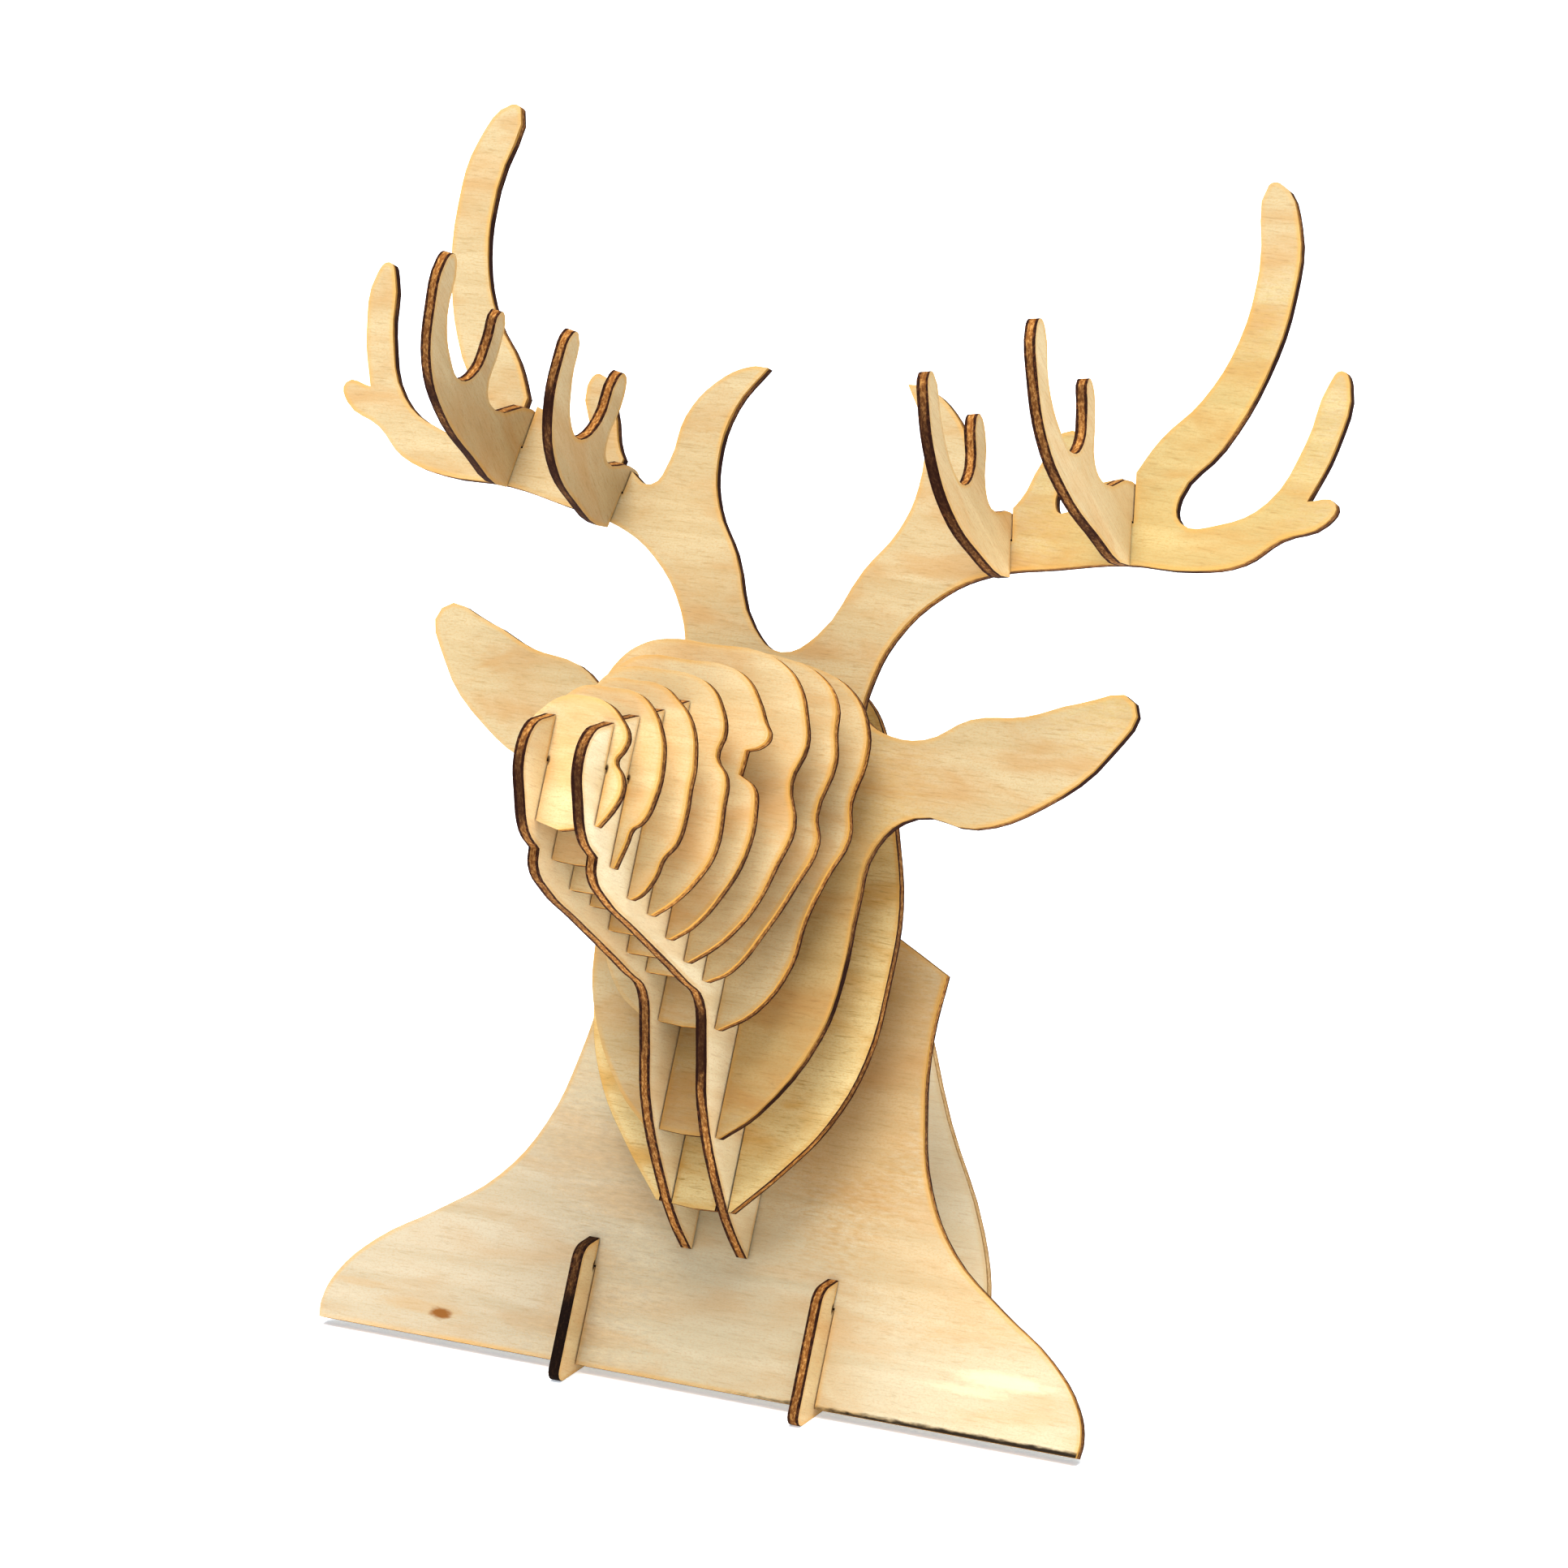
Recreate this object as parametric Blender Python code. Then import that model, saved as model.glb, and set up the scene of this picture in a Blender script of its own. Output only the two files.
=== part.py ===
"""Deer-bust eyeglasses stand: twenty flat plywood plates joined by half-lap slots.

Every plate is a flat outline of one thickness. The bust leans back on its foot rails, so the
plates are drawn in a leaned frame: x to the right, d back through the head, h up the plates.
Lengths are in millimetres until a mesh is made, and the scene is in metres.
"""
import bmesh
import bpy
from math import radians, sin, tan
from mathutils import Matrix, Vector

MM = 0.001

# Driving dimensions
SHEET = 2.0             # plywood thickness
LEAN = 26.0             # degrees that the bust leans back
SIDE_GAP = 0.2          # clearance on each face of a plate in a slot
END_GAP = 0.15          # clearance of each slot's end from the middle of the lap
PROFILE_X = 5.25        # middle of each side-profile plate
RAIL_X = 22.5           # middle of each foot rail
HEAD_PITCH = 8.0        # spacing of the eight head slices
NECK_PITCH = 10.0       # spacing of the neck slices and the chest
NOSE_FRONT = -82.0      # d of the nose slice's front face
NECK_FRONT = -17.5      # d of the antler plate's front face
CHEST_FRONT = 4.0       # d of the chest plate's front face
BACK_FRONT = 34.0
CURVE_STEPS = 4         # segments between two outline points
FILLET_STEPS = 5        # segments around a rounded corner
OPEN_END = 200.0        # far enough for a slot cutter to leave the plate
CUTTER_DEPTH = 8.0      # depth of a slot cutter, through the sheet
OVERRUN = 1.5           # how far a branch slot runs past the joint that it opens
WELD_DISTANCE = 0.001
FLAT_ANGLE = 0.5        # degrees within which neighbouring faces count as one
ROUGHNESS = 0.62        # raw matt plywood

# Where each half-lap meets, as a height up the plates
HEAD_LAP = [93.0, 93.0, 93.0, 94.0, 94.0, 94.0, 94.0, 89.0]
ANTLER_LAP = 84.0
NECK_LAP = 78.0
CHEST_LAP = 58.0
RAIL_CHEST_LAP = 20.6
RAIL_BACK_LAP = 29.0

# Antler branches: where the joint's foot is, its lean to the middle, and the lap's height
OUTER_JOINT = (58.0, 147.0, 8.7, 7.0)
INNER_JOINT = (37.4, 142.5, 11.0, 6.0)

CORNER = "VECTOR"
SMOOTH = "AUTO"

PLY_HEAD = (0.82, 0.64, 0.41)
PLY_NECK = (0.79, 0.62, 0.36)
PLY_ANTLER = (0.84, 0.67, 0.43)
PLY_BODY = (0.83, 0.67, 0.46)


def ground(d):
    """Height of the floor, up the leaned plates, at depth d."""
    return d * tan(radians(LEAN))


# Right-hand halves of the head slices, (x, h) from the top middle to the bottom middle
NOSE = [(0, 104), (4, 103.4), (6.9, 101.2), (8.7, 98.5), (8.3, 96.4), (7.4, 94.5), (9, 92.3),
        (9.6, 90.1), (8.9, 87.4), (6.7, 83.8, CORNER), (0, 82.3, CORNER)]
NOSTRIL = [(0, 107), (4.6, 106.8), (7.4, 105), (10, 101.4), (11.3, 97.4), (11.2, 89.8),
           (9.9, 86.4), (8.5, 85.2), (8, 83), (6.9, 78.6, CORNER), (0, 78.2, CORNER)]
MUZZLE_FRONT = [(0, 109.9), (4.5, 109.7), (7.2, 108.1), (10.8, 104.6), (12.9, 98), (13, 93.8),
                (13.2, 89.6), (12.6, 85), (10.8, 82.2), (10.1, 79.2), (8.3, 76),
                (6.9, 75, CORNER), (0, 75, CORNER)]
MUZZLE_REAR = [(0, 113.4), (5.4, 113.2), (9, 111.8), (11.5, 108.8), (13, 105), (12.5, 100.7),
               (14.9, 97.6), (15.4, 93), (15.5, 85.6), (13.6, 81.1), (10.2, 76.6),
               (7, 73.9, CORNER), (0, 73.8, CORNER)]
EYE = [(0, 116.7), (7.4, 116.6), (11, 115.1), (13.7, 112), (15.7, 108.6), (17, 106.2),
       (15.8, 104.4), (13.5, 103.5, CORNER), (13.2, 99.4, CORNER), (16.1, 97.7), (17.1, 94.6),
       (16.9, 86.6), (14.2, 79.7), (10.2, 73.9), (7, 71.4, CORNER), (0, 71.2, CORNER)]
BROW = [(0, 121), (8.6, 120.9), (13, 119.4), (16.4, 116.4), (18.8, 111.4), (19.9, 106.8),
        (18.4, 100.4), (20.5, 93.4), (18.9, 87), (16.6, 80), (13.6, 75), (10.4, 71.6),
        (7, 69, CORNER), (0, 69, CORNER)]
FOREHEAD = [(0, 121.9), (10, 121.5), (16, 119.6), (19.8, 115.4), (20.6, 110.6), (21.6, 106),
            (20.1, 97), (21.4, 92.4), (19, 85), (15.2, 76.8), (10.6, 69.4),
            (7, 67.2, CORNER), (0, 67.2, CORNER)]
JAW = [(0, 122.6), (11, 121.9), (18.4, 118.8), (22.4, 113), (23, 107.4), (21.9, 100.8),
       (22.9, 94.8), (20.3, 88), (18.1, 80.4), (17.2, 72.8), (12.4, 64.2),
       (7, 60.5, CORNER), (0, 60.1, CORNER)]
NECK = [(0, 124), (7, 123.4), (12.6, 120.6), (17.2, 114.4), (22.4, 99.7), (26, 87), (26.5, 74.8),
        (25.4, 60.8), (21, 49.5), (14.7, 41), (7, 32.6, CORNER), (0, 32.2, CORNER)]

# Right-hand half of the antler plate: antler, ear and neck slice, same direction
ANTLER = [(0, 125), (6, 128.6), (12, 140.5), (16.8, 147.8), (18.8, 155.5), (17.6, 165),
          (13.1, 172.4, CORNER), (16.2, 172.3), (22.2, 168.8), (26.4, 162.6), (27.7, 154.6),
          (30.2, 150.3), (34, 151.8), (37.4, 155.4), (39.8, 161.8), (44.2, 168),
          (46, 165.6), (43.6, 156.4), (45, 154), (48.6, 158.6), (53.8, 160.8),
          (56.5, 161.6, CORNER), (60, 168.3), (65.8, 175.4), (70.2, 186), (71.2, 198),
          (69.9, 212.3), (71.8, 212.8), (76.6, 206), (78, 194.6), (76, 180.6), (71, 168),
          (65.2, 159.2), (66.2, 155), (73, 155.4), (80.6, 160), (85.2, 170.4), (87.2, 180.6),
          (88.9, 183), (90.7, 181), (90.4, 170.4), (87.4, 161, CORNER), (92.3, 161.2),
          (91.2, 157.8), (84, 154.2), (78.4, 149.6), (70, 147.4), (57.4, 147), (46, 144.9),
          (34.6, 142.4), (27, 138.2), (19.8, 129.6), (17, 120.6), (16.7, 116.4, CORNER),
          (21, 114.1), (29, 113.8), (36.6, 118.2), (46, 119.9), (55, 123.3), (64.6, 124.6),
          (62, 115.8), (51.8, 105.6), (41, 100.5), (30, 100.8), (24, 95.2), (22.9, 85),
          (22.8, 73), (20.9, 62.6), (12.6, 48.6), (6.9, 43.6, CORNER), (0, 43.3, CORNER)]

CHEST = [(0, 90), (8, 88.9), (18, 84.8), (31.4, 78.4, CORNER), (30.9, 67.6), (32.4, 55.4),
         (36, 43), (42.7, 33), (53, 25.3), (63.4, 18.6), (69.8, 11.6), (71.5, 6.6),
         (71.3, 3.8, CORNER), (0, 3.8, CORNER)]
BACK = [(0, 88), (7, 85.8), (12.6, 78.6), (23.4, 57), (33.4, 39.6), (37.2, 27.6),
        (37.2, 18.4, CORNER), (0, 18.4, CORNER)]

# Whole outlines in (d, h)
PROFILE = [(-84, 99.6), (-88.3, 97.3), (-89.6, 92), (-87, 86.4), (-83, 81.2),
           (-78.4, 79.3, CORNER), (-77.6, 76.6), (-72, 73.7), (-60, 71), (-38.5, 66.2),
           (-31.6, 64.3), (-27.4, 57.6), (-22.6, 48), (-10.5, 35.5), (-2.6, 29.6),
           (3.6, 26.2, CORNER), (11, 26.2, CORNER), (11, 94), (6.6, 111), (-3, 119.4),
           (-17.5, 121.6), (-42, 115), (-67, 105.5)]
RAIL_FRONT = -1.1
RAIL_REAR = 48.0
RAIL_TOP = 23.5         # height of the rail above the floor, measured up the leaned plates
RAIL = [(RAIL_FRONT, ground(RAIL_FRONT), 1.6), (RAIL_FRONT, ground(RAIL_FRONT) + RAIL_TOP, 3.4),
        (RAIL_REAR, ground(RAIL_REAR) + RAIL_TOP, 4.0), (RAIL_REAR, ground(RAIL_REAR), 2.2)]

# Forward antler branches in (d, height above the joint)
OUTER_BRANCH = [(-18, -0.3), (-32, 1.7), (-46, 6), (-55, 12), (-60, 20.4), (-61.7, 28.6),
                (-60.2, 30.3), (-58.2, 29.2), (-55.4, 20.8), (-49.6, 14.5), (-44, 12.2),
                (-39.6, 15), (-39.1, 20.6), (-39.3, 25.6), (-37.6, 25.4), (-35.6, 20),
                (-34.6, 12.8), (-30, 10.5), (-18.4, 13.6), (-13.6, 11.6), (-13.2, 5),
                (-14.8, 1.9)]
INNER_BRANCH = [(-18, -0.4), (-31, 0.9), (-42, 5), (-49, 11.8), (-52.6, 20.4), (-52.6, 25.6),
                (-50.9, 25.9), (-47.2, 18.6), (-41.8, 11.9), (-37, 10.7), (-33, 14.8),
                (-33.1, 22.8), (-31.6, 23.9), (-29, 20.6), (-28.5, 12), (-26, 9.4),
                (-18.3, 10.6), (-13.2, 9.2), (-12.6, 4.6), (-14.6, 1.9)]


def remove_everything():
    for thing in list(bpy.data.objects):
        bpy.data.objects.remove(thing, do_unlink=True)


def new_collection(name):
    collection = bpy.data.collections.new(name)
    bpy.context.scene.collection.children.link(collection)
    return collection


def new_empty(name, collection, parent=None):
    empty = bpy.data.objects.new(name, None)
    collection.objects.link(empty)
    empty.parent = parent
    return empty


def plywood(name, colour):
    material = bpy.data.materials.new(name + "_plywood")
    material.use_nodes = True
    shader = material.node_tree.nodes["Principled BSDF"]
    shader.inputs["Base Color"].default_value = (*colour, 1.0)
    shader.inputs["Roughness"].default_value = ROUGHNESS
    shader.inputs["Metallic"].default_value = 0.0
    return material


def mirrored(half):
    """Close a right-hand half outline, top middle to bottom middle, with its mirror image."""
    left = [(-point[0], *point[1:]) for point in reversed(half[1:-1])]
    return half + left


def filleted(corners):
    """Turn (across, up, radius) corners into an outline of straight sides and arcs."""
    outline = []
    points = [Vector(corner[:2]) for corner in corners]
    for index, (*_, radius) in enumerate(corners):
        here = points[index]
        back = (points[index - 1] - here).normalized()
        ahead = (points[(index + 1) % len(points)] - here).normalized()
        half_angle = back.angle(ahead) / 2
        middle = here + (back + ahead).normalized() * radius / sin(half_angle)
        start = here + back * radius / tan(half_angle) - middle
        sweep = (here + ahead * radius / tan(half_angle) - middle).angle_signed(start)
        for step in range(FILLET_STEPS + 1):
            spoke = start.copy()
            spoke.rotate(Matrix.Rotation(sweep * step / FILLET_STEPS, 2))
            outline.append((*(middle + spoke), CORNER))
    return outline


def place(thing, location, turn, parent):
    thing.parent = parent
    thing.rotation_mode = "XZY"
    thing.rotation_euler = [radians(angle) for angle in turn]
    thing.location = Vector(location) * MM


def flat_plate(name, outline, location, turn, colour, stand):
    """Extrude a closed outline to the sheet's thickness and return it as a welded mesh."""
    curve = bpy.data.curves.new(name, "CURVE")
    curve.dimensions = "2D"
    curve.fill_mode = "BOTH"
    curve.extrude = SHEET * MM / 2
    curve.resolution_u = CURVE_STEPS
    spline = curve.splines.new("BEZIER")
    spline.use_cyclic_u = True
    spline.bezier_points.add(len(outline) - 1)
    for knot, (across, up, *kind) in zip(spline.bezier_points, outline):
        knot.co = (across * MM, up * MM, 0.0)
        knot.handle_left_type = kind[0] if kind else SMOOTH
        knot.handle_right_type = kind[0] if kind else SMOOTH
    drawn = bpy.data.objects.new(name + "_outline", curve)
    stand["parts"].objects.link(drawn)
    place(drawn, location, turn, stand["lean"])
    bpy.context.view_layer.update()

    evaluated = drawn.evaluated_get(bpy.context.evaluated_depsgraph_get())
    mesh = bpy.data.meshes.new_from_object(evaluated)
    mesh.name = name
    weld(mesh)
    mesh.materials.clear()
    mesh.materials.append(plywood(name, colour))
    plate = bpy.data.objects.new(name, mesh)
    stand["parts"].objects.link(plate)
    place(plate, location, turn, stand["lean"])
    bpy.data.objects.remove(drawn)
    return plate


def weld(mesh):
    """Join the curve's loose caps to its sides and make each cap one face."""
    shape = bmesh.new()
    shape.from_mesh(mesh)
    bmesh.ops.remove_doubles(shape, verts=shape.verts, dist=WELD_DISTANCE * MM)
    bmesh.ops.dissolve_limit(shape, angle_limit=radians(FLAT_ANGLE), verts=shape.verts,
                             edges=shape.edges)
    bmesh.ops.recalc_face_normals(shape, faces=shape.faces)
    shape.to_mesh(mesh)
    shape.free()


def cut_slots(plate, slots, stand):
    """Cut straight slots in a plate with one comb of boxes, in the plate's outline plane.

    A slot is (across, up, lean, low, high): it runs from low to high along a line that starts
    at (across, up) and leans by that many degrees.
    """
    shape = bmesh.new()
    for across, up, lean, low, high in slots:
        size = Vector((SHEET + 2 * SIDE_GAP, high - low, CUTTER_DEPTH, 1 / MM)) * MM
        box = (Matrix.Translation(Vector((across, up, 0)) * MM)
               @ Matrix.Rotation(radians(lean), 4, "Z")
               @ Matrix.Translation(Vector((0, (low + high) / 2, 0)) * MM)
               @ Matrix.Diagonal(size))
        bmesh.ops.create_cube(shape, size=1.0, matrix=box)
    mesh = bpy.data.meshes.new(plate.name + "_slots")
    shape.to_mesh(mesh)
    shape.free()
    comb = bpy.data.objects.new(plate.name + "_slots", mesh)
    stand["cutters"].objects.link(comb)
    comb.parent = plate
    comb.hide_render = True
    comb.display_type = "WIRE"
    cut = plate.modifiers.new("slots", "BOOLEAN")
    cut.operation = "DIFFERENCE"
    cut.solver = "EXACT"
    cut.object = comb


def slot_from_below(across, lap):
    return (across, 0, 0, -OPEN_END, lap + END_GAP)


def slot_from_above(across, lap):
    return (across, 0, 0, lap - END_GAP, OPEN_END)


def cross_plate(name, half, front, colour, slots, stand):
    """A plate across the stand, seen from the front as (x, h)."""
    middle = front + SHEET / 2
    plate = flat_plate(name, mirrored(half), (0, middle, 0), (90, 0, 0), colour, stand)
    cut_slots(plate, slots, stand)


def build_slices(stand):
    """Head and neck slices, pushed down over the two side profiles."""
    head = [("nose_plate", NOSE), ("nostril_plate", NOSTRIL), ("muzzle_plate_front", MUZZLE_FRONT),
            ("muzzle_plate_rear", MUZZLE_REAR), ("eye_plate", EYE), ("brow_plate", BROW),
            ("forehead_plate", FOREHEAD), ("jaw_plate", JAW)]
    for index, (name, half) in enumerate(head):
        slots = [slot_from_below(side * PROFILE_X, HEAD_LAP[index]) for side in (-1, 1)]
        cross_plate(name, half, NOSE_FRONT + index * HEAD_PITCH, PLY_HEAD, slots, stand)
    slots = [slot_from_below(side * PROFILE_X, NECK_LAP) for side in (-1, 1)]
    cross_plate("neck_plate", NECK, NECK_FRONT + NECK_PITCH, PLY_NECK, slots, stand)


def build_antlers(stand):
    """The antler plate, slotted below for the profiles and above for the four branches."""
    slots = [slot_from_below(side * PROFILE_X, ANTLER_LAP) for side in (-1, 1)]
    middle = NECK_FRONT + SHEET / 2
    branches = [("outer", OUTER_BRANCH, OUTER_JOINT), ("inner", INNER_BRANCH, INNER_JOINT)]
    for reach, outline, (across, up, lean, lap) in branches:
        for hand, side in (("left", -1), ("right", 1)):
            slots.append((side * across, up, side * lean, lap - END_GAP, 2 * lap + OVERRUN))
            name = f"antler_branch_{reach}_{hand}"
            branch = flat_plate(name, outline, (side * across, 0, up), (90, -side * lean, 90),
                                PLY_ANTLER, stand)
            cut_slots(branch, [slot_from_below(middle, lap)], stand)
    cross_plate("antler_plate", ANTLER, NECK_FRONT, PLY_ANTLER, slots, stand)


def build_profiles(stand):
    """The two side profiles, slotted above for the slices and below for the chest."""
    fronts = [NOSE_FRONT + index * HEAD_PITCH for index in range(len(HEAD_LAP))]
    fronts += [NECK_FRONT, NECK_FRONT + NECK_PITCH]
    laps = HEAD_LAP + [ANTLER_LAP, NECK_LAP]
    slots = [slot_from_above(front + SHEET / 2, lap) for front, lap in zip(fronts, laps)]
    slots.append(slot_from_below(CHEST_FRONT + SHEET / 2, CHEST_LAP))
    for hand, side in (("left", -1), ("right", 1)):
        profile = flat_plate("profile_" + hand, PROFILE, (side * PROFILE_X, 0, 0), (90, 0, 90),
                             PLY_HEAD, stand)
        cut_slots(profile, slots, stand)


def build_base(stand):
    """Chest and back plates standing in the two foot rails."""
    slots = [slot_from_above(side * PROFILE_X, CHEST_LAP) for side in (-1, 1)]
    slots += [slot_from_below(side * RAIL_X, RAIL_CHEST_LAP) for side in (-1, 1)]
    cross_plate("chest_plate", CHEST, CHEST_FRONT, PLY_BODY, slots, stand)
    slots = [slot_from_below(side * RAIL_X, RAIL_BACK_LAP) for side in (-1, 1)]
    cross_plate("back_plate", BACK, BACK_FRONT, PLY_BODY, slots, stand)
    slots = [slot_from_above(CHEST_FRONT + SHEET / 2, RAIL_CHEST_LAP),
             slot_from_above(BACK_FRONT + SHEET / 2, RAIL_BACK_LAP)]
    for hand, side in (("left", -1), ("right", 1)):
        rail = flat_plate("foot_rail_" + hand, filleted(RAIL), (side * RAIL_X, 0, 0), (90, 0, 90),
                          PLY_BODY, stand)
        cut_slots(rail, slots, stand)


def stand_on_origin(stand):
    """Move the whole stand so that its box is centred over the origin, with its base at z = 0."""
    bpy.context.view_layer.update()
    depsgraph = bpy.context.evaluated_depsgraph_get()
    points = []
    for plate in stand["parts"].objects:
        if plate.type == "MESH":
            mesh = plate.evaluated_get(depsgraph).data
            points += [plate.matrix_world @ vertex.co for vertex in mesh.vertices]
    low, high = (Vector(pick(axis) for axis in zip(*points)) for pick in (min, max))
    middle = (low + high) / 2
    stand["root"].location = (-middle.x, -middle.y, -low.z)


def main():
    remove_everything()
    parts = new_collection("eyeglasses_stand")
    root = new_empty("stand_root", parts)
    lean = new_empty("stand_lean", parts, root)
    lean.rotation_euler = (-radians(LEAN), 0.0, 0.0)
    stand = {"parts": parts, "cutters": new_collection("cutters"), "root": root, "lean": lean}
    build_slices(stand)
    build_antlers(stand)
    build_profiles(stand)
    build_base(stand)
    stand_on_origin(stand)


main()
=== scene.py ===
"""Looks of the deer-bust eyeglasses stand: raw laser-cut plywood on a plain white floor.

The plates are the CAD's own. Each gets softened edges and its own plywood material: veneer
grain on the two faces, and scorched plies on the cut edges. Lengths are in millimetres until
they reach a node, a modifier or an object, which all work in metres.
"""

from math import cos, radians, sin

import bpy
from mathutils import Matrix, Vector

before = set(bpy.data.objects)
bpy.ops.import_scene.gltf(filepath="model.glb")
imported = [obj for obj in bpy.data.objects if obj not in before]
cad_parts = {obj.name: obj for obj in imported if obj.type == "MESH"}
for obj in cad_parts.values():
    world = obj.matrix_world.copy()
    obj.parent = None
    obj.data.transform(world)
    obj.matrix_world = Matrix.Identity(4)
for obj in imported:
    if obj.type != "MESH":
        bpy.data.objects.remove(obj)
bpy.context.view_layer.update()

MM = 0.001

# The stand, as the CAD has it
SHEET = 2.0
LEAN = 26.0
ROOT_Y = -19.3741                   # where the leaned frame's origin stands, along y
PROFILE_X = 5.25
RAIL_X = 22.5
HEAD_LAP = [93.0, 93.0, 93.0, 94.0, 94.0, 94.0, 94.0, 89.0]
ANTLER_LAP = 84.0
NECK_LAP = 78.0
RAIL_LAP = 20.6
HEAD_PITCH = 8.0
NOSE_MIDDLE = -81.0
ANTLER_MIDDLE = -16.5
NECK_MIDDLE = -6.5
CHEST_MIDDLE = 5.0
CHEST_FOOT = 3.8
BACK_MIDDLE = 35.0
OUTER_FOOT = (58.0, 147.0, 8.7)     # x, height and lean of an outer branch's joint
INNER_FOOT = (37.4, 142.5, 11.0)
HEAD = ["nose_plate", "nostril_plate", "muzzle_plate_front", "muzzle_plate_rear",
        "eye_plate", "brow_plate", "forehead_plate", "jaw_plate"]

# The leaned frame's directions
ACROSS = Vector((1, 0, 0))
DEEPER = Vector((0, cos(radians(LEAN)), -sin(radians(LEAN))))
UPWARD = Vector((0, sin(radians(LEAN)), cos(radians(LEAN))))

# Edges, with the angles between neighbouring faces in degrees
WELD = 0.001
CHAMFER = 0.07
CHAMFER_ABOVE = 40.0
SMOOTH_BELOW = 28.0

# Noise figures: how many features go into a millimetre along the grain, across it and through
# the sheet, then the detail, and where they are given the roughness and the distortion
VENEER = {"blushes": ((0.045, 0.13, 1.0), 3.0, 0.6, 0.5),
          "bands": ((0.02, 0.22, 1.0), 3.0, 0.55, 0.8),
          "streaks": ((0.28, 2.5, 1.0), 4.0, 0.62, 0.5),
          "fibres": ((0.95, 5.5, 1.0), 3.0, 0.65),
          "flecks": ((2.2, 3.4, 1.0), 2.0, 0.7)}
PLY_WAVES = ((0.12, 0.12, 0.0), 2.0)
CHAR_PATCHES = ((0.045, 0.045, 0.02), 2.0)
CHAR_FLECKS = ((1.3, 1.3, 2.6), 3.0, 0.7)
SPOT_RAGS = ((0.5, 1.6, 1.0), 2.0)
HALO_PATCHES = ((0.07, 0.07, 1.0), 1.0)

# Layers of a veneer face, painted in turn over the pale wood: the figure, its values where
# the layer starts and is whole, and the plate's entries for its strength and its colour
VENEER_LAYERS = [("bands", 0.30, 0.72, "band", "deep"),
                 ("blushes", 0.42, 0.72, "blush", "warm"),
                 ("streaks", 0.50, 0.78, "grain", "streak"),
                 ("streaks", 0.44, 0.24, "light", "pale"),
                 ("fibres", 0.52, 0.80, "fine", "streak"),
                 ("flecks", 0.46, 0.70, "speckle", "warm")]
FIBRE_RELIEF = 0.6
FACE_TURN = (0.80, 0.95)        # cosines of a surface's turn where veneer starts and is whole

# Cut edges: a pair gives the values where something starts and where it is whole
PLY_WANDER = 0.9                # mm that the borders between plies wander
MIDDLE_PLY = (0.62, 0.44)       # in half-sheets from the mid-plane
FRONT_PLY = (-0.25, -0.6)       # in mm from the mid-plane, for the lighter ply in front
PLY_RELIEF = 0.5
TOAST_FLECKS = (0.40, 0.68)
CHAR_SPECKS = (0.45, 0.75)
CHAR_EDGES = (0.34, 0.66)
CHAR_SWING = 0.7                # how far the patches swing the charring, which runs from 0 to 1
CHAR_COVER = 0.92
COAL_EDGES = (0.55, 1.0)
COAL_COVER = 0.85
SHADED_SIDE = Vector((0, -0.7, -0.7))     # painted shade falls on an antler branch's edges that face this way
SHADED_TURN = (0.1, 0.8)

# The golden halo that the laser leaves on a face beside the cut
HALO = 1.6
HALO_SAMPLES = 4
HALO_TURN = (1.0, 0.88)
HALO_EDGES = (0.30, 0.62)
HALO_LEAST = 0.30
HALO_MORE = 0.55                # what the patches add

# Spots, in radii: how far the outline swings, and where the spot starts and is whole
SPOT_SWING = 0.8
SPOT_FADE = (1.2, 0.5)
BURN_ASIDE = 1.15               # mm from a profile's middle to the burn beside its slot
BURN_SIZE = (0.35, 0.8)
RAIL_BURN_BEFORE = 1.4          # mm that a rail's burn stands in front of the chest's middle
RAIL_BURN_SIZE = (0.35, 1.1)

# How light a plate's wood is, painted shade included, and how charred its edges are, where that
# follows a rule
HEAD_TONE = 0.96
HEAD_SHADE_DROP = 0.018          # painted shade that deepens from each head slice to the next
# painted shade: the left branches face a little downward and are darker
BRANCH_TONE_AND_SHADE = {"left": 0.82, "right": 0.92}
RAIL_CHAR = {"left": 1.1, "right": 0.1}
BRANCH_GRAIN = -25.0            # degrees that a branch's grain turns from the depth

# Surface
FACE_ROUGHNESS = 0.50
GRAIN_ROUGHNESS = 0.10
EDGE_ROUGHNESS = 0.82
BUMP_STRENGTH = 0.35
BUMP_DEPTH = 0.06
SPECULAR = 0.16

# Floor, in metres
FLOOR_SIZE = 40.0
FLOOR_MOTTLE = ((900.0, 900.0, 900.0), 3.0)
FLOOR_ROUGHNESS = 0.9
FLOOR_SPECULAR = 0.1
FLOOR_GLOW = 0.47

# Lamps: strength, width in degrees, direction that the light comes from, and colour
LAMPS = {"overhead": (4.4, 45, (0.0, -0.09, 1.0), (1.0, 1.0, 1.0)),
         "front": (1.1, 110, (-0.05, -0.75, 0.66), (1.0, 1.0, 1.0)),
         "side": (0.35, 60, (0.93, -0.25, 0.26), (1.0, 1.0, 1.0)),
         "cool": (0.4, 60, (-0.94, -0.16, 0.31), (0.45, 0.65, 1.0))}
HORIZON = (0.16, 0.06)          # rises of a direction where the white starts and is whole

# Camera, in metres and degrees
CAMERA_PLACE = (0.5357, -1.01827, 0.4434)
CAMERA_TILT = 73.49
CAMERA_TURN = 27.27
LENS = 167.70
SENSOR = 36.0
FAR = 50.0
GAMMA = 0.74


def colour(red, green, blue):
    return (red, green, blue, 1.0)


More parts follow.
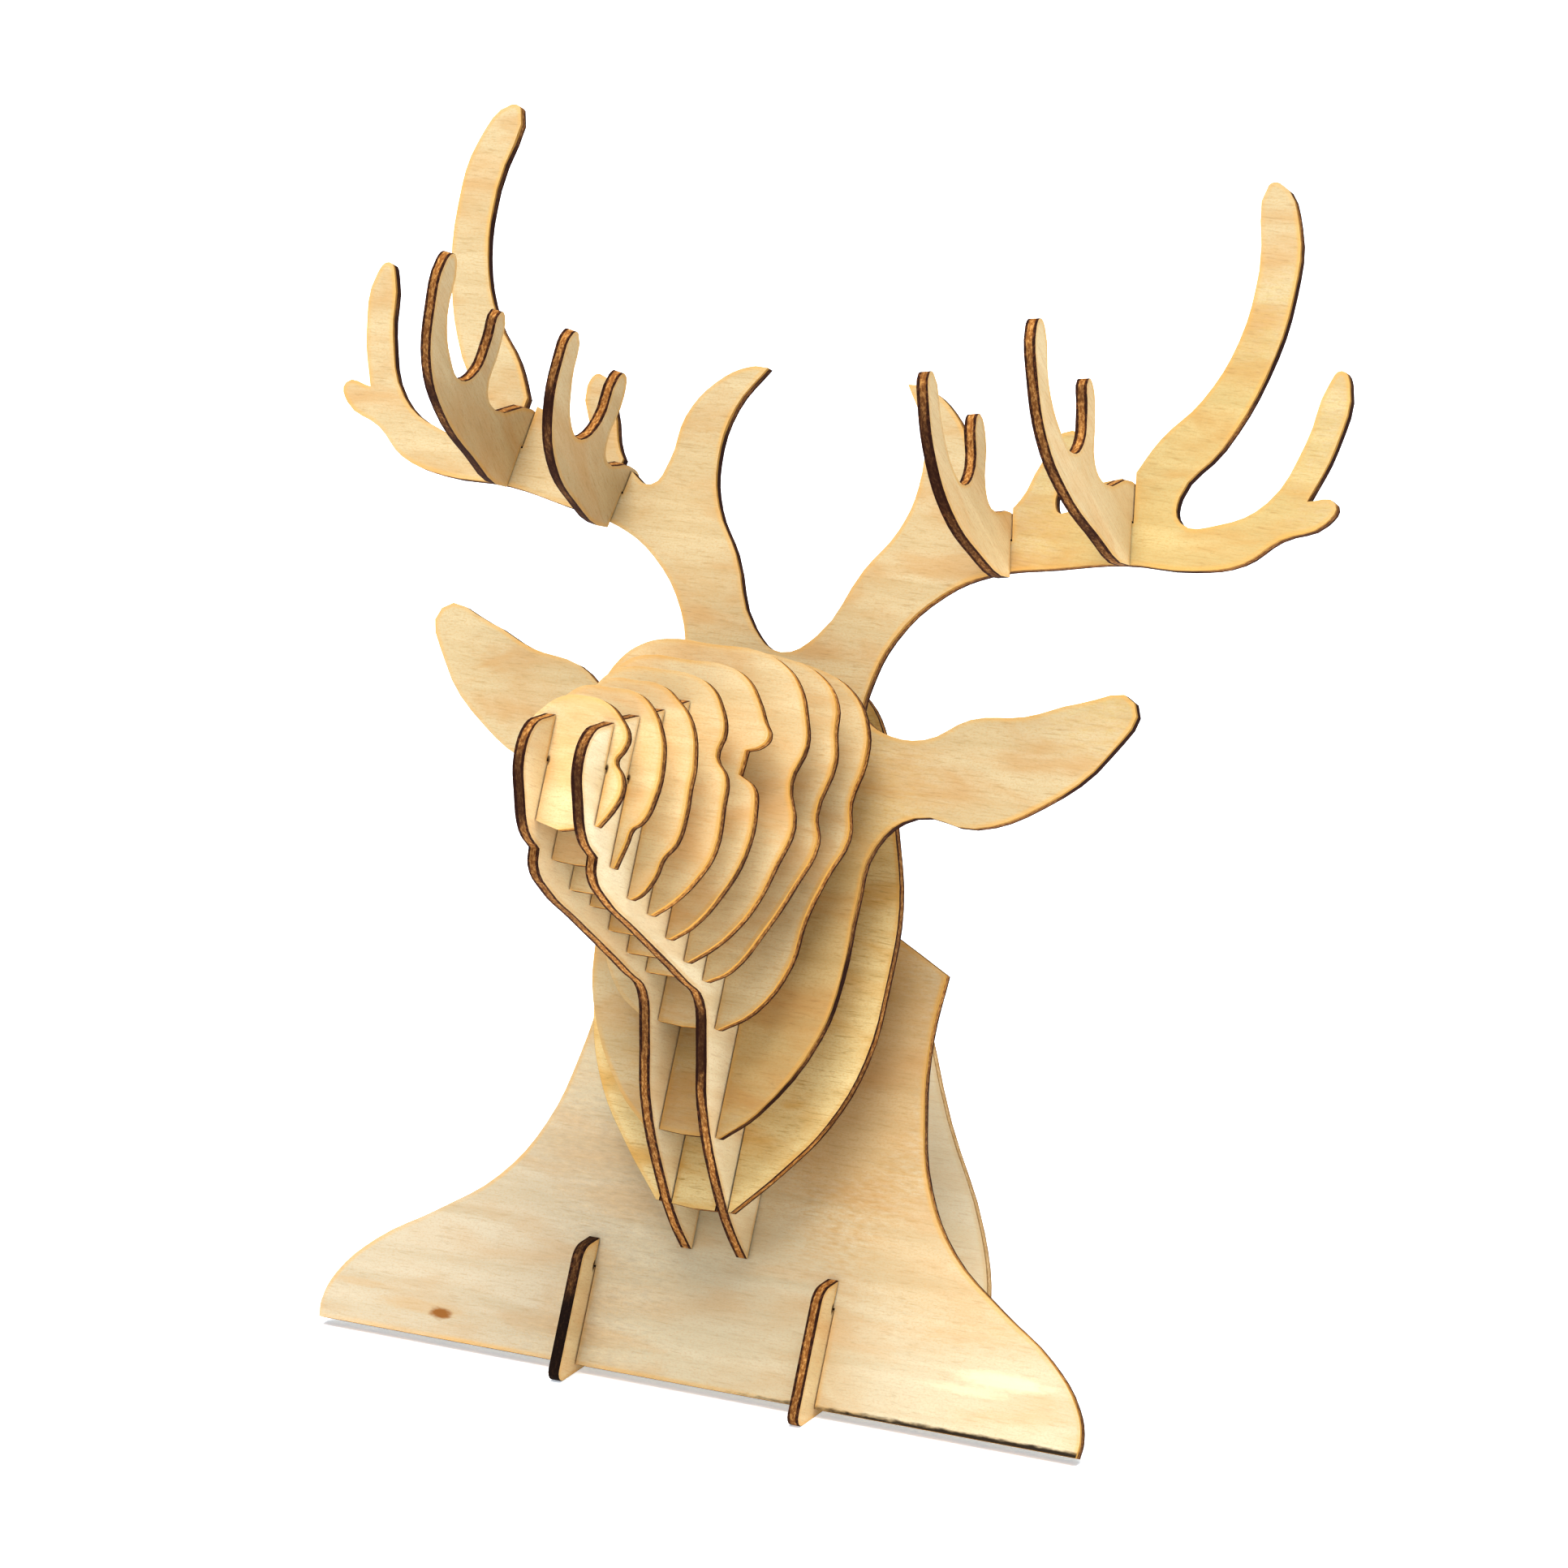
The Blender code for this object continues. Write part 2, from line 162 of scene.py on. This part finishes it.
# Veneer colours
CREAM = {"pale": (0.82, 0.69, 0.45), "deep": (0.70, 0.55, 0.32),
         "warm": (0.74, 0.49, 0.24), "streak": (0.55, 0.36, 0.17)}
GOLDEN = {"pale": (0.80, 0.67, 0.39), "deep": (0.67, 0.51, 0.25),
          "warm": (0.69, 0.46, 0.18), "streak": (0.46, 0.29, 0.10)}
TAN = {"pale": (0.68, 0.60, 0.44), "deep": (0.58, 0.49, 0.33),
       "warm": (0.62, 0.45, 0.26), "streak": (0.48, 0.35, 0.20)}
BLEACHED = {"pale": (0.88, 0.78, 0.57), "deep": (0.77, 0.65, 0.43),
            "warm": (0.78, 0.58, 0.34), "streak": (0.60, 0.44, 0.25)}
# painted light: a paler veneer for the back plate, which stands in bright light
LIT_BACK_VENEER = {"pale": (0.90, 0.85, 0.70), "deep": (0.84, 0.76, 0.58),
        "warm": (0.84, 0.70, 0.50), "streak": (0.68, 0.56, 0.38)}

# Scorched colours of the plies, and of the halo
SCORCH = {"ply": colour(0.62, 0.36, 0.13), "toast": colour(0.30, 0.13, 0.035),
          "brown": colour(0.22, 0.09, 0.035), "black": colour(0.045, 0.017, 0.010),
          "smoke": colour(0.70, 0.42, 0.12)}
# painted light: lighter scorch colours for the back plate's edges
LIT_BACK_SCORCH = {"ply": colour(0.78, 0.62, 0.38), "toast": colour(0.60, 0.40, 0.19),
         "brown": colour(0.55, 0.36, 0.17), "black": colour(0.38, 0.23, 0.10),
         "smoke": colour(0.80, 0.63, 0.38)}

# Colours of spots: the stains and the painted shade tint the wood, and the rest cover it
# painted shade: a duller, cooler left half of the chest
COOL_SIDE_SHADE = colour(0.80, 0.80, 0.84)
# painted shade: the head's shadow on the chest, under the neck and on the right
HEAD_SHADOW_BROWN = colour(0.92, 0.75, 0.52)
OCHRE = colour(1.0, 0.86, 0.55)
STRAW = colour(1.0, 0.97, 0.69)
KNOT = colour(0.30, 0.13, 0.03)
KNOT_SHADE = colour(0.52, 0.36, 0.19)
SWIRL = colour(0.78, 0.68, 0.48)
BURN = colour(0.040, 0.012, 0.007)
SOOT = colour(0.012, 0.006, 0.004)

# Colours of the studio
FLOOR_SHADES = [colour(0.84, 0.85, 0.88), colour(0.87, 0.88, 0.90)]
GLOW = colour(0.90, 0.95, 1.0)
SKY = colour(0.06, 0.07, 0.08)
WHITE = colour(1.0, 1.0, 1.0)

# What a plate has unless its own look says otherwise
USUAL = {"char": 0.2, "soot": 0.0, "fresh": 0.0, "coal": BURN, "marks": [], "stains": [],
         "scorches": [], "band": 0.7, "blush": 0.6, "grain": 0.5, "light": 0.5, "fine": 0.5,
         "speckle": 0.45}


class Nodes:
    """Adds nodes to one tree; a value given for a socket may be a number or another socket."""

    def __init__(self, tree):
        self.tree = tree

    def add(self, kind, inputs=(), output=0, **settings):
        node = self.tree.nodes.new(kind)
        for name, value in settings.items():
            setattr(node, name, value)
        for socket, value in dict(inputs).items():
            self.give(node.inputs[socket], value)
        return node.outputs[output]

    def give(self, socket, value):
        if isinstance(value, bpy.types.NodeSocket):
            self.tree.links.new(value, socket)
        else:
            socket.default_value = value

    def math(self, operation, first, second=0.0, third=0.0, **settings):
        return self.add("ShaderNodeMath", {0: first, 1: second, 2: third}, operation=operation,
                        **settings)

    def vector(self, operation, first, second):
        output = 1 if operation == "DOT_PRODUCT" else 0
        return self.add("ShaderNodeVectorMath", {0: first, 1: second}, output,
                        operation=operation)

    def step(self, value, low, high):
        """0 below low, 1 above high and smooth between; it falls where low is above high."""
        return self.add("ShaderNodeMapRange", {0: value, 1: low, 2: high, 3: 0.0, 4: 1.0},
                        interpolation_type="SMOOTHSTEP")

    def swing(self, value, width):
        """A value from 0 to 1 as an offset of the given width about 0."""
        return self.math("MULTIPLY_ADD", value, width, -width / 2)

    def mix(self, factor, first, second, blend="MIX"):
        return self.add("ShaderNodeMix", {0: factor, 6: first, 7: second}, 2,
                        data_type="RGBA", blend_type=blend)

    def choose(self, factor, first, second):
        """The number first where the factor is 0 and second where it is 1."""
        return self.add("ShaderNodeMix", {0: factor, 2: first, 3: second}, data_type="FLOAT")

    def noise(self, place, repeats, detail, roughness=0.5, distortion=0.0):
        return self.add("ShaderNodeTexNoise",
                        {"Vector": self.vector("MULTIPLY", place, repeats), "Scale": 1.0,
                         "Detail": detail, "Roughness": roughness, "Distortion": distortion})

    def normal(self):
        """The surface's direction in the object's own space."""
        return self.add("ShaderNodeTexCoord", output=1)

    def position(self):
        return self.add("ShaderNodeTexCoord", output=3)


def plate_place(nodes, plate):
    """Position in the plate, in mm: along the grain, across it and through the thickness."""
    position = nodes.vector("SUBTRACT", nodes.position(), (0, ROOT_Y * MM, 0))
    along, beside, normal, middle = plate["axes"]
    lengths = [nodes.vector("DOT_PRODUCT", position, axis / MM) for axis in (along, beside)]
    depth = nodes.vector("DOT_PRODUCT", position, normal / MM)
    through = nodes.math("SUBTRACT", depth, middle)
    lengths.append(through)
    return nodes.add("ShaderNodeCombineXYZ", dict(enumerate(lengths))), through


def face_mask(nodes, plate):
    """1 on the two veneer faces, 0 on the cut edges and their chamfers."""
    facing = nodes.vector("DOT_PRODUCT", nodes.normal(), plate["axes"][2])
    return nodes.step(nodes.math("ABSOLUTE", facing), *FACE_TURN)


def veneer(nodes, place, plate):
    """Colour and fine relief of a veneer face."""
    shifted = nodes.vector("ADD", place, plate["shift"])
    figures = {name: nodes.noise(shifted, *figure) for name, figure in VENEER.items()}
    tone = plate["pale"]
    for figure, start, whole, strength, tint in VENEER_LAYERS:
        shown = nodes.step(figures[figure], start, whole)
        shown = nodes.math("MULTIPLY", shown, plate[strength])
        tone = nodes.mix(shown, tone, plate[tint])
    fibres = nodes.math("MULTIPLY", figures["fibres"], FIBRE_RELIEF)
    return tone, nodes.math("ADD", fibres, figures["streaks"])


def char_depth(nodes, run, plate):
    """How deeply an edge is charred, from 0 to 1: patchy, plus painted shade where a branch's
    edge faces down and to the front.
    """
    patches = nodes.step(nodes.noise(run, *CHAR_PATCHES), *CHAR_EDGES)
    below = nodes.vector("DOT_PRODUCT", nodes.normal(), SHADED_SIDE)
    # painted shade: darker where a branch's edge faces down and to the front
    soot = nodes.math("MULTIPLY_ADD", nodes.step(below, *SHADED_TURN), plate["soot"], plate["char"])
    return nodes.math("ADD", nodes.swing(patches, CHAR_SWING), soot, use_clamp=True)


def scorched(nodes, place, through, plate):
    """Colour and relief of a cut edge: charred outer plies about a toasted middle one."""
    run = nodes.vector("ADD", place, plate["shift"])
    waves = nodes.noise(run, *PLY_WAVES)
    flecks = nodes.noise(run, *CHAR_FLECKS)
    through = nodes.math("ADD", through, nodes.swing(waves, PLY_WANDER))
    layer = nodes.math("ABSOLUTE", nodes.math("DIVIDE", through, SHEET / 2))
    middle = nodes.step(layer, *MIDDLE_PLY)
    depth = char_depth(nodes, run, plate)

    golden = nodes.mix(nodes.step(flecks, *TOAST_FLECKS), plate["toast"], plate["ply"])
    charred = nodes.mix(nodes.step(flecks, *CHAR_SPECKS), plate["black"], plate["brown"])
    tone = nodes.mix(middle, charred, golden)
    tone = nodes.mix(nodes.math("MULTIPLY", depth, CHAR_COVER), tone, charred)
    coal = nodes.math("MULTIPLY", nodes.step(depth, *COAL_EDGES), COAL_COVER)
    tone = nodes.mix(coal, tone, plate["coal"])
    for scorch in plate["scorches"]:
        tone = spot(nodes, place, tone, *scorch)
    front = nodes.math("MULTIPLY", nodes.step(through, *FRONT_PLY), plate["fresh"])
    tone = nodes.mix(front, tone, plate["smoke"])
    return tone, nodes.math("ADD", flecks, nodes.math("MULTIPLY", middle, PLY_RELIEF))


def spot(nodes, place, tone, middle, size, tint, strength, blend="MIX"):
    """Blend a soft oval of tint into tone; middle and size are (along, across) in mm."""
    offset = nodes.vector("SUBTRACT", place, (middle[0], middle[1], 0.0))
    scaled = nodes.vector("MULTIPLY", offset, (1 / size[0], 1 / size[1], 0.0))
    distance = nodes.add("ShaderNodeVectorMath", {0: scaled}, 1, operation="LENGTH")
    rags = nodes.swing(nodes.noise(place, *SPOT_RAGS), SPOT_SWING)
    distance = nodes.math("ADD", distance, rags)
    inside = nodes.math("MULTIPLY", nodes.step(distance, *SPOT_FADE), strength)
    return nodes.mix(inside, tone, tint, blend)


def halo(nodes, place):
    """How golden a face is beside a cut: a Bevel node finds the nearby corners."""
    rounded = nodes.add("ShaderNodeBevel", {"Radius": HALO * MM}, samples=HALO_SAMPLES)
    straight = nodes.add("ShaderNodeNewGeometry", output=1)
    near = nodes.step(nodes.vector("DOT_PRODUCT", rounded, straight), *HALO_TURN)
    patches = nodes.step(nodes.noise(place, *HALO_PATCHES), *HALO_EDGES)
    strength = nodes.math("MULTIPLY_ADD", patches, HALO_MORE, HALO_LEAST)
    return nodes.math("MULTIPLY", near, strength)


def plywood(name, plate):
    """Raw plywood: veneer on the faces, scorched plies on the edges, a faint scorch between."""
    material = bpy.data.materials.new(name + "_plywood")
    material.use_nodes = True
    nodes = Nodes(material.node_tree)
    shader = material.node_tree.nodes["Principled BSDF"]
    place, through = plate_place(nodes, plate)
    face = face_mask(nodes, plate)

    tone, relief = veneer(nodes, place, plate)
    # tints of the wood, and on the chest painted shade as well
    for stain_and_shade in plate["stains"]:
        tone = spot(nodes, place, tone, *stain_and_shade, blend="MULTIPLY")
    tone = nodes.mix(halo(nodes, place), tone, plate["smoke"])
    for mark in plate["marks"]:
        tone = spot(nodes, place, tone, *mark)
    edge_tone, edge_relief = scorched(nodes, place, through, plate)
    nodes.give(shader.inputs["Base Color"], nodes.mix(face, edge_tone, tone))

    rough = nodes.math("ADD", nodes.math("MULTIPLY", relief, GRAIN_ROUGHNESS), FACE_ROUGHNESS)
    rough = nodes.choose(face, EDGE_ROUGHNESS, rough)
    nodes.give(shader.inputs["Roughness"], rough)
    bump = nodes.add("ShaderNodeBump", {"Height": nodes.choose(face, edge_relief, relief),
                                        "Strength": BUMP_STRENGTH, "Distance": BUMP_DEPTH * MM})
    nodes.give(shader.inputs["Normal"], bump)
    shader.inputs["Specular IOR Level"].default_value = SPECULAR
    return material


def toned(sheet, factor=1.0):
    """A veneer's colours, all lighter or darker by one factor."""
    return {part: colour(*(factor * channel for channel in tint))
            for part, tint in sheet.items()}


def leaned(x, d, h):
    """A point of the leaned frame, in mm, in the scene's directions."""
    return ACROSS * x + DEEPER * d + UPWARD * h


def axes(along, beside, normal, point):
    """A plate's directions and the distance of its mid-plane along its normal."""
    return along, beside, normal, normal.dot(leaned(*point))


def crosswise(middle):
    return axes(ACROSS, UPWARD, DEEPER, (0, middle, 0))


def lengthwise(x):
    return axes(DEEPER, UPWARD, ACROSS, (x, 0, 0))


def branchwise(side, foot):
    """An antler branch leans to the middle, about its foot; its grain follows the branch."""
    x, up, lean = foot
    lean = radians(side * lean)
    normal = ACROSS * cos(lean) + UPWARD * sin(lean)
    upright = UPWARD * cos(lean) - ACROSS * sin(lean)
    grain = radians(BRANCH_GRAIN)
    along = DEEPER * cos(grain) + upright * sin(grain)
    beside = upright * cos(grain) - DEEPER * sin(grain)
    return axes(along, beside, normal, (side * x, 0, up))


def burns(lap):
    """The laser's small burn beside each profile's slot, where the half-laps meet."""
    return [((side * PROFILE_X + BURN_ASIDE, lap), BURN_SIZE, BURN, 0.8) for side in (-1, 1)]


def antler_stains():
    """Ochre on the right of the neck and straw on the right antler."""
    return [((12.0, 76.0), (26.0, 42.0), OCHRE, 0.55), ((66.0, 158.0), (32.0, 40.0), STRAW, 0.6)]


def chest_painted_shade():
    """Painted shade: a duller, cooler left half, and a browner middle and right side where the
    head's shadow falls.
    """
    return [((-52.0, 20.0), (42.0, 36.0), COOL_SIDE_SHADE, 0.8), ((20.0, 60.0), (19.0, 30.0), HEAD_SHADOW_BROWN, 0.7),
            ((44.0, 34.0), (26.0, 17.0), HEAD_SHADOW_BROWN, 0.4)]


def chest_marks():
    """A knot in the left shoulder, a swirl in the right one and a black line along the lower
    edge.
    """
    return [((-52.0, 8.6), (9.0, 1.3), KNOT_SHADE, 0.45), ((-48.4, 8.0), (2.2, 1.1), KNOT, 0.95),
            ((-64.5, 10.8), (6.0, 0.8), KNOT_SHADE, 0.4), ((56.0, 13.8), (9.0, 1.6), SWIRL, 0.8),
            ((50.0, 11.4), (8.0, 1.0), SWIRL, 0.5),
            # a black line on the face along its lower edge
            ((62.0, CHEST_FOOT), (50.0, 0.85), SOOT, 0.95)]


def profile_scorches(side):
    """The nose is burnt almost black on both profiles, and the throat on the right one."""
    scorches = [((-87.5, 87.0), (5.0, 10.0), BURN, 0.75)]
    if side > 0:
        scorches.append(((-27.0, 57.5), (7.0, 7.5), BURN, 0.85))
    return scorches


def cross_looks():
    """The looks of the plates that lie across the stand; painted shade darkens the head's to the
    rear.
    """
    looks = {name: {"axes": crosswise(NOSE_MIDDLE + index * HEAD_PITCH),
                    "marks": burns(HEAD_LAP[index]), "char": 0.3, "fresh": 0.9, "blush": 0.8,
                    **toned(CREAM, HEAD_TONE - HEAD_SHADE_DROP * index)}
             for index, name in enumerate(HEAD)}
    looks["antler_plate"] = {"axes": crosswise(ANTLER_MIDDLE), "char": 0.85, "fresh": 0.6,
                             "stains": antler_stains(), "marks": burns(ANTLER_LAP),
                             "grain": 0.6, "blush": 0.8, **toned(CREAM, 0.75)}
    looks["neck_plate"] = {"axes": crosswise(NECK_MIDDLE), "marks": burns(NECK_LAP),
                           "blush": 1.0, "grain": 0.8, **toned(GOLDEN)}
    # the chest's painted shade goes in with its tints
    looks["chest_plate"] = {"axes": crosswise(CHEST_MIDDLE), "char": 0.3, "fresh": 0.8,
                            "stains": chest_painted_shade(), "marks": chest_marks(), **toned(TAN)}
    # painted light: the back plate is made paler, for the light that falls on it
    looks["back_plate"] = {"axes": crosswise(BACK_MIDDLE), "char": 0.0, **LIT_BACK_SCORCH, **toned(LIT_BACK_VENEER)}
    return looks


def side_looks(hand, side):
    """The looks of one side's profile, foot rail and antler branches."""
    slot_end = ((CHEST_MIDDLE - RAIL_BURN_BEFORE, RAIL_LAP), RAIL_BURN_SIZE, BURN, 0.9)
    looks = {"profile_" + hand: {"axes": lengthwise(side * PROFILE_X), "char": 0.1,
                                 "scorches": profile_scorches(side), **toned(BLEACHED)},
             "foot_rail_" + hand: {"axes": lengthwise(side * RAIL_X), "marks": [slot_end],
                                   "char": RAIL_CHAR[hand], "coal": SOOT, **toned(CREAM)}}
    for reach, foot in (("outer", OUTER_FOOT), ("inner", INNER_FOOT)):
        # Painted shade: every branch's edges that face down and to the front, and the left
        # branches' faces
        looks[f"antler_branch_{reach}_{hand}"] = {
            "axes": branchwise(side, foot), "char": 0.0, "soot": 0.7,
            **toned(CREAM, BRANCH_TONE_AND_SHADE[hand])}
    return looks


def geometry_group(name, build):
    """A geometry-nodes group that passes its mesh through the nodes that build adds."""
    group = bpy.data.node_groups.new(name, "GeometryNodeTree")
    group.interface.new_socket("Geometry", in_out="INPUT", socket_type="NodeSocketGeometry")
    group.interface.new_socket("Geometry", in_out="OUTPUT", socket_type="NodeSocketGeometry")
    nodes = Nodes(group)
    mesh = build(nodes, nodes.add("NodeGroupInput"))
    nodes.add("NodeGroupOutput", {0: mesh}, output=slice(0))
    return group


def weld_corners(nodes, mesh):
    """Join the frame's split corners, so that the chamfer finds the plate's real edges."""
    for name in ("custom_normal", "sharp_edge"):
        mesh = nodes.add("GeometryNodeRemoveAttribute", {0: mesh, "Name": name})
    return nodes.add("GeometryNodeMergeByDistance", {0: mesh, "Distance": WELD * MM})


def smooth_sides(nodes, mesh):
    """Smooth the curved sides and keep every real corner sharp."""
    mesh = nodes.add("GeometryNodeSetShadeSmooth", {0: mesh, "Shade Smooth": True},
                     domain="FACE")
    angle = nodes.add("GeometryNodeInputMeshEdgeAngle")
    corner = nodes.math("GREATER_THAN", angle, radians(SMOOTH_BELOW))
    return nodes.add("GeometryNodeSetShadeSmooth",
                     {0: mesh, "Selection": corner, "Shade Smooth": False}, domain="EDGE")


def finish_plates():
    """Give every plate its own material, its chamfered edges and its smooth curved sides."""
    welded = geometry_group("weld_corners", weld_corners)
    smoothed = geometry_group("smooth_sides", smooth_sides)
    looks = {**cross_looks(), **side_looks("left", -1), **side_looks("right", 1)}
    for index, (name, look) in enumerate(sorted(looks.items())):
        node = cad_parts[name]
        shift = (37.0 * index, 61.0 * index, 13.0 * index)
        node.data.materials[0] = plywood(name, {**USUAL, "shift": shift, **SCORCH, **look})
        node.modifiers.new("weld", "NODES").node_group = welded
        chamfer = node.modifiers.new("chamfer", "BEVEL")
        chamfer.width = CHAMFER * MM
        chamfer.segments = 1
        chamfer.limit_method = "ANGLE"
        chamfer.angle_limit = radians(CHAMFER_ABOVE)
        node.modifiers.new("smooth", "NODES").node_group = smoothed


def floor():
    """A matt white floor that glows a little, as in an overexposed product photo."""
    bpy.ops.mesh.primitive_grid_add(x_subdivisions=4, y_subdivisions=4, size=FLOOR_SIZE)
    ground = bpy.context.object
    ground.name = "floor"
    material = bpy.data.materials.new("white_floor")
    material.use_nodes = True
    nodes = Nodes(material.node_tree)
    shader = material.node_tree.nodes["Principled BSDF"]
    mottle = nodes.noise(nodes.position(), *FLOOR_MOTTLE)
    nodes.give(shader.inputs["Base Color"], nodes.mix(mottle, *FLOOR_SHADES))
    shader.inputs["Roughness"].default_value = FLOOR_ROUGHNESS
    shader.inputs["Emission Color"].default_value = GLOW
    shader.inputs["Emission Strength"].default_value = FLOOR_GLOW
    shader.inputs["Specular IOR Level"].default_value = FLOOR_SPECULAR
    ground.data.materials.append(material)


def studio():
    """A white horizon under a dark sky, and soft lamps overhead, in front and at the sides."""
    world = bpy.data.worlds.new("studio")
    bpy.context.scene.world = world
    world.use_nodes = True
    nodes = Nodes(world.node_tree)
    background = world.node_tree.nodes["Background"]
    direction = nodes.add("ShaderNodeTexCoord", output=0)
    height = nodes.add("ShaderNodeSeparateXYZ", {0: direction}, 2)
    horizon = nodes.step(height, *HORIZON)
    nodes.give(background.inputs["Color"], nodes.mix(horizon, SKY, WHITE))
    for name, (energy, spread, towards, tint) in LAMPS.items():
        lamp = bpy.data.lights.new(name, "SUN")
        lamp.energy = energy
        lamp.angle = radians(spread)
        lamp.color = tint
        holder = bpy.data.objects.new(name, lamp)
        holder.rotation_euler = Vector(towards).to_track_quat("Z", "Y").to_euler()
        bpy.context.scene.collection.objects.link(holder)


def camera():
    """The photo's camera, as it was fitted to the plates' corners."""
    lens = bpy.data.cameras.new("camera")
    lens.lens = LENS
    lens.sensor_width = SENSOR
    lens.clip_end = FAR
    holder = bpy.data.objects.new("camera", lens)
    holder.location = CAMERA_PLACE
    holder.rotation_euler = (radians(CAMERA_TILT), 0.0, radians(CAMERA_TURN))
    bpy.context.scene.collection.objects.link(holder)
    bpy.context.scene.camera = holder


finish_plates()
floor()
studio()
camera()
bpy.context.scene.view_settings.view_transform = "Standard"
bpy.context.scene.view_settings.gamma = GAMMA
